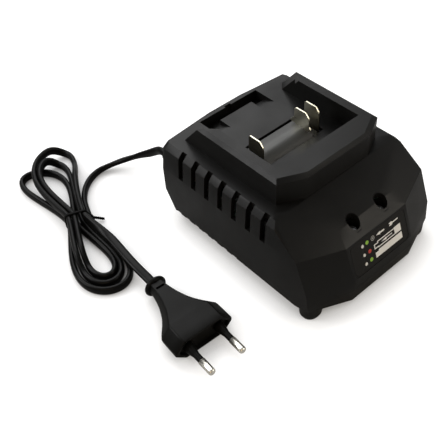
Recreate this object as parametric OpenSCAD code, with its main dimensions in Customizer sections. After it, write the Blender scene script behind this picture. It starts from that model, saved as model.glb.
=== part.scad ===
// Battery charger for slide-on power tool packs, with its flat lead tied in a hank.
// Origin: bottom centre of the housing. +Y points to the end where the lead leaves,
// -Y to the sloping front with the status lights, +Z up. Sizes in millimetres.

/* [Housing] */
// Width across the side walls
body_w = 99; // [96:1:112]
// Length from the front face to the lead end
body_l = 123; // [118:1:132]
// Height of the flat deck
deck_h = 53; // [50:0.5:58]
// Height of the underside of the tray above the table
base_h = 3.5; // [2.5:0.5:5]
// Height of the seam between the two shells
seam_h = 12; // [10:0.5:15]
// Wall thickness of both shells
wall = 2.4; // [1.8:0.2:3]
// Width of the chamfer along the deck's long edges
deck_chamfer = 4.4; // [3:0.2:6]

/* [Slide frame] */
// Width across the outside of the rails
frame_w = 74.6; // [70:1:80]
// Height of the frame's top above the table
frame_top = 68; // [65:0.5:72]
// Place of the frame's front face
frame_front = -26; // [-30:1:-22]
// Place where the rails end on top
rail_end = 39; // [34:1:42]
// Width of the gap between the rail lips
lip_gap = 60; // [56:1:62]
// Depth of the groove under each lip
groove_d = 3; // [2:0.5:4]
// Thickness of each lip
lip_t = 3; // [2:0.5:4]
// Depth of the closed bar across the front
front_bar = 14; // [10:1:17]

/* [Contacts] */
// Thickness of the contact blades
blade_t = 0.8; // [0.6:0.1:1.2]
// Length of a contact blade along the slide
blade_l = 11; // [9:0.5:13]
// Height of the blade tips above the table
blade_top = 67; // [64:0.5:67.5]
// Place of the left blade
blade_left = -21; // [-22:0.5:-19]
// Place of the middle blade
blade_mid = 12.8; // [11:0.2:14]
// Place of the right blade
blade_right = 20.6; // [19.6:0.2:21]
// Place of the front edge of the blades
blade_front = 6.5; // [5.5:0.5:8]
// Height of the terminal block above the deck
block_rise = 3.6; // [2:0.2:5]

/* [Vents] */
// Number of slots in each side
vent_count = 7; // [4:1:7]
// Width of a slot
vent_w = 3.6; // [2.4:0.2:4.4]
// Distance from one slot to the next
vent_pitch = 10.6; // [8:0.2:11]
// Height of the lower end of the slots
vent_low = 36.5; // [30:0.5:40]
// Number of notches along each lower edge
notch_count = 7; // [4:1:7]
// Length of a notch
notch_l = 4; // [3:0.5:5]

/* [Screws] */
// Radius of the wells for the front screws
well_r = 3.8; // [3.4:0.1:4.4]
// Depth of the front wells below the top edge of the panel
well_drop = 2.1; // [1:0.1:4]
// Distance between the front screws
front_screw_gap = 21; // [19:0.5:24]
// Distance of the rear screws from the sides of the housing
rear_screw_inset = 26.5; // [25.5:0.5:28.5]
// Radius of the screw shanks
shank_r = 1.45; // [1.2:0.05:1.6]
// Radius of the screw heads
head_r = 2.9; // [2.6:0.1:3.2]

/* [Status panel] */
// Width of the recess for the label
panel_w = 42; // [36:1:44]
// Length of the recess down the slope
panel_l = 19; // [18:0.5:20]
// Radius of the light pipes
pipe_r = 0.9; // [0.6:0.1:1.2]

/* [Electronics] */
// Height of the circuit board's underside
board_z = 15; // [14:0.5:17]
// Thickness of the circuit boards
board_t = 1.6; // [1.2:0.1:2]
// Width of the main board
board_w = 82; // [78:1:84]
// Width of the transformer
trafo_w = 30; // [26:1:32]
// Radius of the mains capacitor
mains_cap_r = 8; // [6:0.5:9]
// Height of the heat sinks
sink_h = 24; // [18:1:28]

/* [Lead and plug] */
// Width of the flat lead
lead_w = 5; // [4.8:0.1:5.2]
// Thickness of the flat lead
lead_t = 3; // [2.8:0.1:3.1]
// Length of the strain relief
relief_l = 20; // [20:1:24]
// Distance of the lead from the side of the housing
exit_inset = 14.5; // [12.5:0.5:16.5]
// Height of the lead in the rear wall
exit_z = 26.5; // [25:0.5:28]
// Width of the plug across its face
plug_w = 35.3; // [33:0.1:36]
// Height of the plug's face
plug_h = 13.7; // [12:0.1:14]
// Distance between the plug pins
pin_gap = 19; // [18:0.1:19.2]
// Length of the plug pins
pin_l = 19; // [18:0.1:19.5]
// Radius of the plug pins
pin_r = 2; // [1.9:0.05:2.1]

/* [Hidden] */

// Smoothness of round parts
$fn = 24;
// A cut passes this far beyond the surface that it opens
cut = 1;
// Side clearance between parts that drop into each other
gap = 0.3;

half_w = body_w / 2;
half_l = body_l / 2;
// Where the deck starts to fall towards the front
slope_start = frame_front + 14;
// The flat part of the nose, and its height where the slope meets the panel
nose_w = 46;
nose_fall = 15.9;
panel_top_y = -half_l + 7.9;
panel_top_z = deck_h - nose_fall;
// The panel leans back by this much for each unit of height
panel_lean = 0.4;
panel_tilt = atan(panel_lean);
well_floor = panel_top_z - well_drop;
exit_x = exit_inset - half_w;

// Corners of the housing, each wall moved inwards by t
function half_corners(t) = let(
    w = half_w - t, f = -half_l + t, r = half_l - t, d = deck_h - t, b = base_h + t)
    [[w - 4, -half_l + 10.5 + t, b], [w, -half_l + 16, 8], [w - 1.5, f + 8.1, 8],
     [w - 1, f + 9.6, 20], [w - 1, f + 17.5, d - 14.2], [w - 1.7, f + 33, d - 3.4],
     [w - deck_chamfer, f + 35, d], [w - deck_chamfer, r - 6, d],
     [w - deck_chamfer - 1, r - 3.6, d], [w - 1.4, r - 5.5, d - 3], [w - 2.5, r - 2.2, d - 4],
     [w, r - 3, 36], [w, r - 3, 20], [w, r - 10.5, 8], [w - 4, r - 11, b],
     [12, r - 0.8, d], [28, r, 46], [28, r, 15], [26, r - 5, b],
     [nose_w / 2, f, b + 0.5], [nose_w / 2, f - 0.3, 11],
     [nose_w / 2, f + 0.4, panel_top_z - 18.7 + t / 3],
     [nose_w / 2, panel_top_y + t, panel_top_z - t * 0.6],
     [nose_w / 2 - 2, panel_top_y + 7.2 + t, deck_h - 9.8 - t],
     [nose_w / 2, slope_start, d]];

// Convex body through those corners and their mirror images
module body_form(t) {
    corners = half_corners(t);
    both = concat(corners, [for (c = corners) [-c.x, c.y, c.z]]);
    hull()
        polyhedron(points = both, faces = [for (i = [0 : len(both) - 3]) [i, i + 1, i + 2]]);
}

// A box given by its two corners
module span(low, high) {
    translate(low) cube(high - low);
}

// Everything above or below a height
module above(z) {
    span([-half_w - 9, -half_l - 9, z], [half_w + 9, half_l + 9, frame_top + 9]);
}
module below(z) {
    span([-half_w - 9, -half_l - 9, -9], [half_w + 9, half_l + 9, z]);
}

// ---- slide frame -------------------------------------------------------

bar_chamfer = 2.1;
bar_drop = 1.7;
corner_run = 7;
corner_cut = 14.4;
frame_half = frame_w / 2;

module frame_outline(inset) {
    w = frame_half - inset;
    f = frame_front + inset;
    polygon([[-w, rail_end + 22], [-w, f + corner_run], [-w + corner_cut, f],
        [w - corner_cut, f], [w, f + corner_run], [w, rail_end + 22]]);
}

// Plane that cuts the rear end of a rail, leading the pack in
module rail_lead_in() {
    translate([lip_gap / 2, rail_end - 7.5, frame_top])
        rotate([0, 0, 45]) rotate([31, 0, 0])
            translate([-30, 0, -40]) cube([70, 60, 70]);
}

module slide_frame() {
    difference() {
        hull() {
            translate([0, 0, deck_h - 14]) linear_extrude(frame_top - bar_drop - deck_h + 14)
                frame_outline(0);
            translate([0, 0, deck_h - 14]) linear_extrude(frame_top - deck_h + 14)
                frame_outline(bar_chamfer);
        }
        span([-lip_gap / 2, frame_front + front_bar, deck_h],
            [lip_gap / 2, half_l + 9, frame_top + cut]);
        span([-lip_gap / 2 - groove_d, frame_front + front_bar, deck_h],
            [lip_gap / 2 + groove_d, half_l + 9, frame_top - lip_t]);
        rail_lead_in();
        mirror([1, 0, 0]) rail_lead_in();
    }
}

// ---- deck openings -----------------------------------------------------

block_half = 2;
block_left = blade_left - 3;
block_right = blade_mid + 3.7;
block_front = blade_front - 2.5;
block_back = blade_front + blade_l + 3.8;
slit = 2.6;
// Underside of the deck
ceiling = deck_h - wall;

module block_window() {
    span([block_left - gap, block_front - gap, ceiling - cut],
        [block_right + gap, block_back + slit, deck_h + cut]);
    span([blade_right - 1.7, blade_front - 1.5, ceiling - cut],
        [blade_right + 2.2, blade_front + blade_l + 1, deck_h + cut]);
}

// Catch pocket for the pack's release latch: a slot with two ramps in front of it
latch_half = 21.5;
latch_front = half_l - 10.5;
latch_back = half_l - 3.8;
latch_floor = deck_h - 6.5;
ramp_l = 9;
ramp_d = 4;
ramp_w = 9.5;

module ramp(x0) {
    translate([x0, 0, 0]) rotate([90, 0, 90]) linear_extrude(ramp_w)
        polygon([[latch_front - ramp_l, deck_h], [latch_front + cut, deck_h - ramp_d],
            [latch_front + cut, deck_h + cut], [latch_front - ramp_l, deck_h + cut]]);
}

module latch_pocket() {
    span([-latch_half, latch_front, latch_floor], [latch_half, latch_back, deck_h + cut]);
    span([-2.2, latch_back - cut, latch_floor + 2], [2.2, latch_back + 1.2, deck_h + cut]);
    ramp(-latch_half);
    ramp(latch_half - ramp_w);
}

// Tray that closes the pocket towards the inside
module latch_tray() {
    span([-latch_half - 1.6, latch_front - ramp_l, latch_floor - 1.6],
        [latch_half + 1.6, half_l - 1.2, ceiling + 0.5]);
}

// ---- vents -------------------------------------------------------------

first_vent = 42.8;
module side_vents() {
    for (s = [-1, 1])
        for (i = [0 : vent_count - 1])
            translate([s * (half_w - deck_chamfer / 2 + 3), first_vent - i * vent_pitch, 0])
                span([-deck_chamfer / 2 - 3, -vent_w / 2, vent_low],
                    [6, vent_w / 2, deck_h + cut]);
}

first_notch = 48.1;
notch_pitch = 7.93;
module lower_notches() {
    for (s = [-1, 1])
        for (i = [0 : notch_count - 1])
            translate([s * (half_w - 1), first_notch - i * notch_pitch, 0])
                span([-3, -notch_l / 2, base_h + 1], [3, notch_l / 2, 8.6]);
}

// ---- screws and bosses -------------------------------------------------

front_screw_y = -half_l + 15.1;
rear_screw_y = half_l - 17;
boss_r = 3.2;
shank_hole_r = shank_r + 0.1;
// Where the boss of the upper shell meets the boss of the tray
boss_meet = 26;
rear_head_z = base_h + 5;
rear_boss_top = deck_h - wall;

module at_front_screws() {
    for (s = [-1, 1]) translate([s * front_screw_gap / 2, front_screw_y, 0]) children();
}
module at_rear_screws() {
    for (s = [-1, 1]) translate([s * (half_w - rear_screw_inset), rear_screw_y, 0]) children();
}

// Pan-head screw with a cross recess, head up, seated at z = 0
module pan_screw(length, reach) {
    difference() {
        union() {
            cylinder(r = head_r, h = 1.4);
            translate([0, 0, 1.4]) cylinder(r1 = head_r, r2 = head_r * 0.72, h = 0.8);
            translate([0, 0, -length]) cylinder(r = shank_r, h = length + 0.2);
        }
        for (a = [0, 90]) rotate([0, 0, a])
            translate([-head_r * 0.55, -0.4, 1.1]) cube([head_r * 1.1, 0.8, 2]);
    }
}

// ---- shells ------------------------------------------------------------

module panel_recess(depth) {
    translate([0, panel_top_y, panel_top_z]) rotate([90 - panel_tilt, 0, 0])
        translate([0, -panel_l / 2 - 1.2, -depth])
            linear_extrude(depth + 3) panel_outline(0);
}

module panel_outline(inset) {
    r = 3;
    w = panel_w / 2 - inset;
    h = panel_l / 2 - inset;
    for (s = [-1, 1]) {
        translate([s * (w - r), h - r]) circle(r = r);
        translate([s * (w - r), r - h]) circle(r = r);
    }
    square([2 * (w - r), 2 * h], center = true);
    square([2 * w, 2 * (h - r)], center = true);
}

// Three lights in a column at the left of the panel, given down the slope
light_x = -12.2;
light_s = [5.2, 10.6, 16];
module at_lights() {
    for (s = light_s)
        translate([0, panel_top_y, panel_top_z]) rotate([90 - panel_tilt, 0, 0])
            translate([light_x, -s, 0]) children();
}

relief_neck_r = 3.6;

module top_shell() color([0.09, 0.09, 0.095]) {
    difference() {
        union() {
            difference() {
                union() {
                    intersection() { body_form(0); above(seam_h); }
                    slide_frame();
                }
                difference() {
                    body_form(wall);
                    latch_tray();
                }
            }
            // Wells and bosses for the front screws
            at_front_screws() {
                translate([0, 0, well_floor - 2.6]) cylinder(r = well_r + 1.2, h = 7);
                translate([0, 0, boss_meet]) cylinder(r = boss_r, h = well_floor - boss_meet);
            }
            // Bosses for the rear screws
            at_rear_screws()
                translate([0, 0, rear_head_z + 6]) cylinder(r = boss_r, h = ceiling - rear_head_z - 5.5);
        }
        block_window();
        latch_pocket();
        side_vents();
        panel_recess(0.6);
        at_lights() translate([0, 0, -wall - 3]) cylinder(r = pipe_r + 0.15, h = wall + 6);
        at_front_screws() {
            translate([0, 0, well_floor]) cylinder(r = well_r, h = 20);
            translate([0, 0, boss_meet - cut]) cylinder(r = shank_hole_r, h = 20);
        }
        at_rear_screws() translate([0, 0, rear_head_z + 5]) cylinder(r = shank_hole_r, h = 15);
        // Half of the collar where the lead leaves
        translate([exit_x, half_l - wall - 3, exit_z]) rotate([-90, 0, 0])
            cylinder(r = relief_neck_r + 0.05, h = wall + 6);
    }
}

tongue = 2;
module bottom_shell() color([0.08, 0.08, 0.085]) {
    difference() {
        union() {
            difference() {
                intersection() { body_form(0); below(seam_h); }
                intersection() { body_form(wall); above(base_h + wall); }
            }
            // Tongue that locates the upper shell
            intersection() {
                difference() { body_form(wall + 0.3); body_form(wall + 1.4); }
                span([-half_w, -half_l, seam_h - 3], [half_w, half_l, seam_h + tongue]);
            }
            corner_feet();
            at_front_screws() translate([0, 0, base_h]) cylinder(r = boss_r + 0.6, h = boss_meet - base_h);
            at_rear_screws() translate([0, 0, base_h]) cylinder(r = 5, h = rear_head_z + 6 - base_h);
            at_board_screws() translate([0, 0, base_h]) cylinder(r = 3, h = board_z - base_h);
            // Post under the lead clamp
            for (s = [-1, 1]) translate([exit_x + s * clamp_half, clamp_y, base_h])
                cylinder(r = 2.8, h = exit_z - lead_t / 2 - base_h);
        }
        lower_notches();
        at_front_screws() translate([0, 0, base_h + wall + 1]) cylinder(r = shank_hole_r, h = 40);
        at_rear_screws() {
            translate([0, 0, -cut]) cylinder(r = well_r, h = rear_head_z + cut);
            cylinder(r = shank_hole_r, h = 40);
        }
        at_board_screws() translate([0, 0, base_h + wall]) cylinder(r = 1.25, h = 20);
        for (s = [-1, 1]) translate([exit_x + s * clamp_half, clamp_y, base_h + wall])
            cylinder(r = 1.25, h = 30);
    }
}

// Moulded feet, one under each corner
foot_x = half_w - 9.3;
foot_y = half_l - 11;
foot_r = 4.2;
module corner_feet() {
    for (s = [-1, 1]) for (y = [-foot_y, foot_y])
        translate([s * foot_x, y, 0]) {
            cylinder(r1 = foot_r - 0.5, r2 = foot_r, h = 0.6);
            translate([0, 0, 0.6]) cylinder(r = foot_r, h = 2.8);
            translate([0, 0, 3.4]) cylinder(r1 = foot_r, r2 = foot_r - 1.6, h = 4.4);
        }
}

// ---- terminals ---------------------------------------------------------

block_top = deck_h + block_rise;
flange_t = 2;
module terminal_block() color([0.16, 0.16, 0.165]) {
    difference() {
        union() {
            translate([0, 0, ceiling - flange_t]) linear_extrude(block_top - ceiling + flange_t - 0.6)
                block_outline(0);
            translate([0, 0, ceiling - flange_t]) linear_extrude(block_top - ceiling + flange_t)
                block_outline(0.6);
            // Flange under the deck
            span([block_left - 4, block_front - 4, ceiling - flange_t],
                [blade_right + 4, block_back + slit + 3, ceiling]);
        }
        for (x = [blade_left, blade_mid, blade_right])
            span([x - blade_t / 2, blade_front + 1, ceiling - flange_t - cut],
                [x + blade_t / 2, blade_front + blade_l - 1, block_top + cut]);
    }
}

module block_outline(inset) {
    r = 2;
    span2([block_left + inset + r, block_front + inset], [block_right - inset - r, block_back - inset]);
    span2([block_left + inset, block_front + inset + r], [block_right - inset, block_back - inset - r]);
    for (x = [block_left + inset + r, block_right - inset - r])
        for (y = [block_front + inset + r, block_back - inset - r])
            translate([x, y]) circle(r = r);
}

module span2(low, high) {
    translate(low) square(high - low);
}

// Flat blade with a bevelled front corner and a tail through the block
tail_end = ceiling - flange_t - 4;
module blade(x, foot_z) {
    y0 = blade_front;
    y1 = blade_front + blade_l;
    translate([x - blade_t / 2, 0, 0]) rotate([90, 0, 90]) linear_extrude(blade_t)
        polygon([[y0 + 2, tail_end], [y1 - 2, tail_end], [y1 - 2, ceiling - flange_t],
            [y1 - 1, ceiling - flange_t], [y1 - 1, foot_z], [y1, foot_z],
            [y1, blade_top - 1], [y1 - 1, blade_top], [y0 + 2.8, blade_top],
            [y0 + 0.6, blade_top - 2.4], [y0, blade_top - 4.5], [y0, foot_z],
            [y0 + 1, foot_z], [y0 + 1, ceiling - flange_t], [y0 + 2, ceiling - flange_t]]);
}

module left_blade() color([0.78, 0.76, 0.68]) blade(blade_left, block_top);

// The middle blade widens to a shoulder where it stands on the block
module middle_blade() color([0.78, 0.76, 0.68]) {
    blade(blade_mid, block_top);
    translate([blade_mid - blade_t / 2, 0, 0]) rotate([90, 0, 90]) linear_extrude(blade_t)
        polygon([[blade_front - 1.4, block_top], [blade_front + blade_l + 2.4, block_top],
            [blade_front + blade_l + 2.4, block_top + 1.6], [blade_front + blade_l, block_top + 4.2],
            [blade_front, block_top + 2.4], [blade_front - 1.4, block_top + 1]]);
}

module right_blade() color([0.78, 0.76, 0.68]) blade(blade_right, ceiling);

// ---- status panel ------------------------------------------------------

label_t = 0.5;
module status_label() color([0.03, 0.03, 0.035]) {
    difference() {
        translate([0, panel_top_y, panel_top_z]) rotate([90 - panel_tilt, 0, 0])
            translate([0, -panel_l / 2 - 1.2, -0.6]) linear_extrude(label_t) panel_outline(0.2);
        at_lights() translate([0, 0, -3]) cylinder(r = pipe_r + 0.15, h = 6);
    }
}

pipe_depth = 3.9;
module light_pipes() color([0.92, 0.93, 0.9]) {
    at_lights() {
        translate([0, 0, -pipe_depth]) cylinder(r = pipe_r, h = pipe_depth);
    }
    // Rail that holds the three pipes behind the wall
    translate([0, panel_top_y, panel_top_z]) rotate([90 - panel_tilt, 0, 0])
        span([light_x - 1.5, -light_s[2] - 1.5, -pipe_depth],
            [light_x + 1.5, -light_s[0] + 1.5, -pipe_depth + 0.9]);
}

led_h = 1;
module status_lights() color([0.85, 0.9, 0.8]) {
    at_lights() span([-1.1, -1, -pipe_depth - led_h], [1.1, 1, -pipe_depth]);
}

light_board_t = 1;
module light_board() color([0.1, 0.35, 0.18]) {
    translate([0, panel_top_y, panel_top_z]) rotate([90 - panel_tilt, 0, 0])
        span([light_x - 5, -light_s[2] - 4, -pipe_depth - led_h - light_board_t],
            [light_x + 9, -light_s[0] + 1.2, -pipe_depth - led_h]);
}

// ---- electronics -------------------------------------------------------

board_front = -half_l + 21;
board_back = half_l - 11;
board_top = board_z + board_t;

module at_board_screws() {
    for (x = [-1, 1]) for (y = [board_front + 5, board_back - 26])
        translate([x * (board_w / 2 - 4), y, 0]) children();
}

module main_board() color([0.12, 0.36, 0.2]) {
    difference() {
        span([-board_w / 2, board_front, board_z], [board_w / 2, board_back, board_top]);
        at_board_screws() translate([0, 0, board_z - cut]) cylinder(r = 1.6, h = 5);
        at_rear_screws() translate([0, 0, board_z - cut]) cylinder(r = 6.2, h = 5);
        // Corner notch for the lead clamp
        span([-board_w / 2 - cut, clamp_y - 5, board_z - cut],
            [exit_x + clamp_half + 6, board_back + cut, board_top + cut]);
    }
}

module board_screws() color([0.75, 0.76, 0.78]) {
    at_board_screws() translate([0, 0, board_top]) {
        cylinder(r = 2.4, h = 1.6);
        translate([0, 0, -8]) cylinder(r = 1.2, h = 8.2);
    }
}

// Transformer: two E-shaped ferrite halves round a wound bobbin
trafo_at = [-3, 33.5];
trafo_d = 26;
trafo_h = 26;
core_t = 6;
pin_stand = 2.5;
module transformer_core() color([0.16, 0.16, 0.17]) {
    on_board(trafo_at) translate([0, 0, pin_stand]) difference() {
        span([-trafo_w / 2, -trafo_d / 2 + 5, 0], [trafo_w / 2, trafo_d / 2 - 5, trafo_h]);
        span([-trafo_w / 2 + core_t, -trafo_d / 2, core_t - 1],
            [-core_t / 2 - 1, trafo_d / 2, trafo_h - core_t + 1]);
        span([core_t / 2 + 1, -trafo_d / 2, core_t - 1],
            [trafo_w / 2 - core_t, trafo_d / 2, trafo_h - core_t + 1]);
    }
}

module transformer_winding() color([0.85, 0.7, 0.2]) {
    on_board(trafo_at) {
        difference() {
            union() {
                span([-trafo_w / 2 + core_t + gap, -trafo_d / 2, pin_stand + core_t - 1 + gap],
                    [trafo_w / 2 - core_t - gap, trafo_d / 2, pin_stand + trafo_h - core_t + 1 - gap]);
                for (s = [-1, 1])
                    span([-trafo_w / 2, s * trafo_d / 2 - 2, pin_stand],
                        [trafo_w / 2, s * trafo_d / 2 + 2, pin_stand + core_t - 1.5]);
            }
            span([-core_t / 2 - 1 - gap, -trafo_d / 2 + 5 - gap, 0],
                [core_t / 2 + 1 + gap, trafo_d / 2 - 5 + gap, trafo_h + 5]);
        }
        for (s = [-1, 1]) for (x = [-10, -5, 0, 5, 10])
            translate([x, s * trafo_d / 2, 0]) cylinder(r = 0.5, h = pin_stand + 1);
    }
}

// Round capacitor standing on the board, with its crimped rim
module can(r, h) {
    rotate_extrude() polygon([[0, 0], [r - 0.4, 0], [r, 0.4], [r, 2], [r - 0.5, 2.6], [r, 3.2],
        [r, h - 0.8], [r - 0.8, h], [0, h]]);
}

// Puts a part on the board, given from the middle of its front or rear edge
module on_board(at) {
    translate([at.x, board_front + at.y, board_top]) children();
}
module at_board_end(at) {
    translate([at.x, board_back + at.y, board_top]) children();
}

mains_cap_at = [-29, 16.5];
mains_cap_h = 30;
module mains_capacitor() color([0.12, 0.14, 0.3])
    on_board(mains_cap_at) can(mains_cap_r, mains_cap_h);

output_cap_r = 5;
output_cap_h = 21;
output_cap_at = [22, -17];
output_cap_gap = 10.8;
module output_capacitors() color([0.1, 0.12, 0.25])
    for (y = [0, output_cap_gap]) at_board_end(output_cap_at - [0, y]) can(output_cap_r, output_cap_h);

choke_at = [-12, -16.5];
choke_r = 8;
choke_hole_r = 3;
choke_l = 9;
module filter_choke() color([0.75, 0.42, 0.15])
    at_board_end(choke_at) translate([0, 0, choke_r]) rotate([0, 90, 0]) difference() {
        cylinder(r = choke_r, h = choke_l);
        translate([0, 0, -cut]) cylinder(r = choke_hole_r, h = choke_l + 2 * cut);
    }

filter_cap_at = [4, -21.5];
filter_cap_size = [6, 16, 13];
module filter_capacitor() color([0.8, 0.65, 0.1])
    at_board_end(filter_cap_at) cube(filter_cap_size);

rectifier_at = [-36, 28.5];
rectifier_size = [3.5, 20, 13];
module rectifier() color([0.1, 0.1, 0.1])
    on_board(rectifier_at) cube(rectifier_size);

// The fuse lies just short of the two wires that come down to the board
core_wire_r = 1.2;
wire_y = board_back - 9.5;
fuse_l = 12;
fuse_r = 2.6;
fuse_at = [-34, wire_y - core_wire_r - 0.5 - fuse_l - board_back];
clip_l = 2;
module fuse() color([0.75, 0.72, 0.6]) at_board_end(fuse_at) {
    translate([0, 0, fuse_r + 0.6]) rotate([-90, 0, 0]) cylinder(r = fuse_r, h = fuse_l);
    for (y = [0.4, fuse_l - clip_l - 0.4])
        translate([-2, y, 0]) cube([4, clip_l, fuse_r - 0.4]);
}

// Finned aluminium plate: a back with ribs on one side
sink_l = 34;
module heat_sink(ribs) {
    span([-sink_half, 0, 0], [sink_half, sink_l, sink_h]);
    for (i = [0 : ribs - 1])
        span([1, i * (sink_l - 1.6) / (ribs - 1), 0], [6, i * (sink_l - 1.6) / (ribs - 1) + 1.6, sink_h]);
}

sink_at = [-25.2, 26.5];
sink2_at = [33, 22.5];
sink_half = 1.5;
module primary_heat_sink() color([0.72, 0.73, 0.75])
    on_board(sink_at) mirror([1, 0, 0]) heat_sink(7);
module secondary_heat_sink() color([0.72, 0.73, 0.75])
    on_board(sink2_at) heat_sink(7);

// A transistor flat against the back of a heat sink, standing on three legs
transistor_size = [4.5, 10, 15];
leg_h = 2;
module transistor() {
    translate([sink_half, 0, leg_h]) cube(transistor_size);
    for (y = [2, 4.6, 7.2]) translate([sink_half + 1.5, y, 0]) cube([1, 0.8, leg_h]);
}
module power_transistors() color([0.1, 0.1, 0.1]) {
    on_board(sink_at + [0, 4]) transistor();
    on_board(sink2_at + [0, 8]) mirror([1, 0, 0]) transistor();
}

chip_at = [4, 4.5];
chip_size = [12, 6, 1.8];
coupler_at = [-14, 4.5];
coupler_size = [7, 5, 3.4];
module control_chips() color([0.07, 0.07, 0.07]) {
    on_board(chip_at) cube(chip_size);
    on_board(coupler_at) cube(coupler_size);
}

// Wires from the blade tails down to the board
wire_r = 0.9;
module battery_leads() color([0.75, 0.1, 0.08]) {
    for (x = [blade_left, blade_mid, blade_right])
        translate([x, blade_front + 2 + wire_r, board_top])
            cylinder(r = wire_r, h = tail_end - board_top);
}

// ---- lead entry --------------------------------------------------------

clamp_y = half_l - 12;
clamp_half = 7;
clamp_t = 3;
module lead_clamp() color([0.08, 0.08, 0.085]) {
    difference() {
        union() {
            span([exit_x - clamp_half, clamp_y - 2.8, exit_z + lead_t / 2],
                [exit_x + clamp_half, clamp_y + 2.8, exit_z + lead_t / 2 + clamp_t]);
            for (s = [-1, 1]) translate([exit_x + s * clamp_half, clamp_y, exit_z - lead_t / 2])
                cylinder(r = 2.8, h = lead_t + clamp_t);
        }
        for (s = [-1, 1]) translate([exit_x + s * clamp_half, clamp_y, exit_z - lead_t])
            cylinder(r = 1.6, h = 20);
    }
}

module clamp_screws() color([0.75, 0.76, 0.78]) {
    for (s = [-1, 1]) translate([exit_x + s * clamp_half, clamp_y, exit_z + lead_t / 2 + clamp_t]) {
        cylinder(r = 2.4, h = 1.6);
        translate([0, 0, -14]) cylinder(r = 1.2, h = 14.2);
    }
}

// Tapered sleeve round the lead, with a flange inside the rear wall
relief_end_r = 3.1;
relief_flange_r = 5;
relief_flange_t = 2;
// The rear wall where the lead leaves, which slopes towards the corner
exit_wall = half_l - 0.9;
relief_in = exit_wall - wall - relief_flange_t - 1.1;
relief_tip = relief_in + relief_l;
module strain_relief() color([0.07, 0.07, 0.075]) {
    translate([exit_x, 0, exit_z]) rotate([-90, 0, 0]) difference() {
        union() {
            translate([0, 0, relief_in]) cylinder(r = relief_flange_r, h = relief_flange_t);
            translate([0, 0, relief_in]) cylinder(r = relief_neck_r - 0.1, h = half_l - relief_in + 1);
            translate([0, 0, half_l]) rotate_extrude() polygon([[0, 0], [4.6, 0], [4.6, 1.4],
                [4.1, 2.4], [relief_end_r, relief_tip - half_l], [0, relief_tip - half_l]]);
        }
        // Grooves that let the sleeve flex
        for (i = [0 : 2]) translate([0, 0, half_l + 3.6 + i * 3]) difference() {
            cylinder(r = 6, h = 1.2);
            cylinder(r = relief_end_r - 0.5, h = 1.2);
            translate([-0.8, -6, 0]) cube([1.6, 12, 1.2]);
        }
    }
}

// Two insulated cores from the relief down to the board
module mains_leads() color([0.3, 0.18, 0.1]) {
    for (s = [-1, 1]) translate([exit_x + s * (core_wire_r + 0.2), wire_y, exit_z]) {
        rotate([-90, 0, 0]) cylinder(r = core_wire_r, h = relief_in - wire_y);
        sphere(r = core_wire_r);
        rotate([180, 0, 0]) cylinder(r = core_wire_r, h = exit_z - board_top);
    }
}

// ---- free lead ---------------------------------------------------------

// Ring of the flat lead: it stands on its narrow edge, and a roll of 90 lays it flat
function ring(c, dir, sides, w, t, roll) = let(
    d = dir / norm(dir),
    level = cross(d, [0, 0, 1]) / norm(cross(d, [0, 0, 1])),
    plumb = cross(level, d),
    side = level * cos(roll) + plumb * sin(roll),
    up = plumb * cos(roll) - level * sin(roll))
    [for (k = [0 : sides - 1]) let(a = 360 * (k + 0.5) / sides)
        c + side * (t / 2 * cos(a)) + up * (w / 2 * sin(a))];

// Closed tube through a list of points, laid flat after a number of them
module tube(p, sides, w, t, flat_after = 999) {
    n = len(p);
    dirs = [for (i = [0 : n - 1]) i == 0 ? p[1] - p[0]
        : i == n - 1 ? p[n - 1] - p[n - 2] : p[i + 1] - p[i - 1]];
    pts = [for (i = [0 : n - 1]) each ring(p[i], dirs[i], sides, w, t,
        90 * blend(flat_after, flat_after + 3, i))];
    sides_f = [for (i = [0 : n - 2]) for (k = [0 : sides - 1]) let(
        a = i * sides + k, b = i * sides + (k + 1) % sides, c = a + sides, d = b + sides)
        each [[a, b, c], [b, d, c]]];
    last = (n - 1) * sides;
    caps = [for (k = [1 : sides - 2]) each [[0, k + 1, k], [last, last + k, last + k + 1]]];
    polyhedron(points = pts, faces = concat(sides_f, caps));
}

// Smooth curve through hand-chosen points, with m steps between two of them
function curve(p, m) = let(n = len(p)) concat([for (i = [0 : n - 2]) for (j = [0 : m - 1]) let(
    a = p[max(i - 1, 0)], b = p[i], c = p[i + 1], d = p[min(i + 2, n - 1)], u = j / m)
    0.5 * (2 * b + (c - a) * u + (2 * a - 5 * b + 4 * c - d) * u * u
        + (3 * b - a - 3 * c + d) * u * u * u)], [p[n - 1]]);

tube_w = lead_w - 0.2;
tube_t = lead_t - 0.1;
lead_low = lead_w / 2;
lead_high = lead_low + lead_w + 0.4;

// Waist of the hank and the way that it points
waist = [-94, 87];
hank_turn = -21;
hank_tail = 7;

// Places and heights of the strands across the waist, in the order of the lead
slots = [[7.2, lead_low], [-5.8, lead_low], [-2.2, lead_low], [-1.6, lead_high],
    [2.8, lead_low], [-5.4, lead_high], [4.6, lead_high]];
// One loop between two passes of the waist: side, length, lean of the tip,
// sway of the strands, half width, and how late the strands spread
loops = [[-1, 57, 6, -1, 10, 1.3], [1, 53.5, -14, 0, 11.5, 1.5], [-1, 47, 7.5, 4, 7, 1.3],
    [1, 57, -4.5, -13.5, 7.5, 1.3], [-1, 52, 7, 5, 8, 1.4], [1, 66.5, 1.5, -25, 9.5, 1.3]];
loop_rings = 24;

function blend(a, b, t) = let(x = min(max((t - a) / (b - a), 0), 1)) x * x * (3 - 2 * x);

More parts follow.
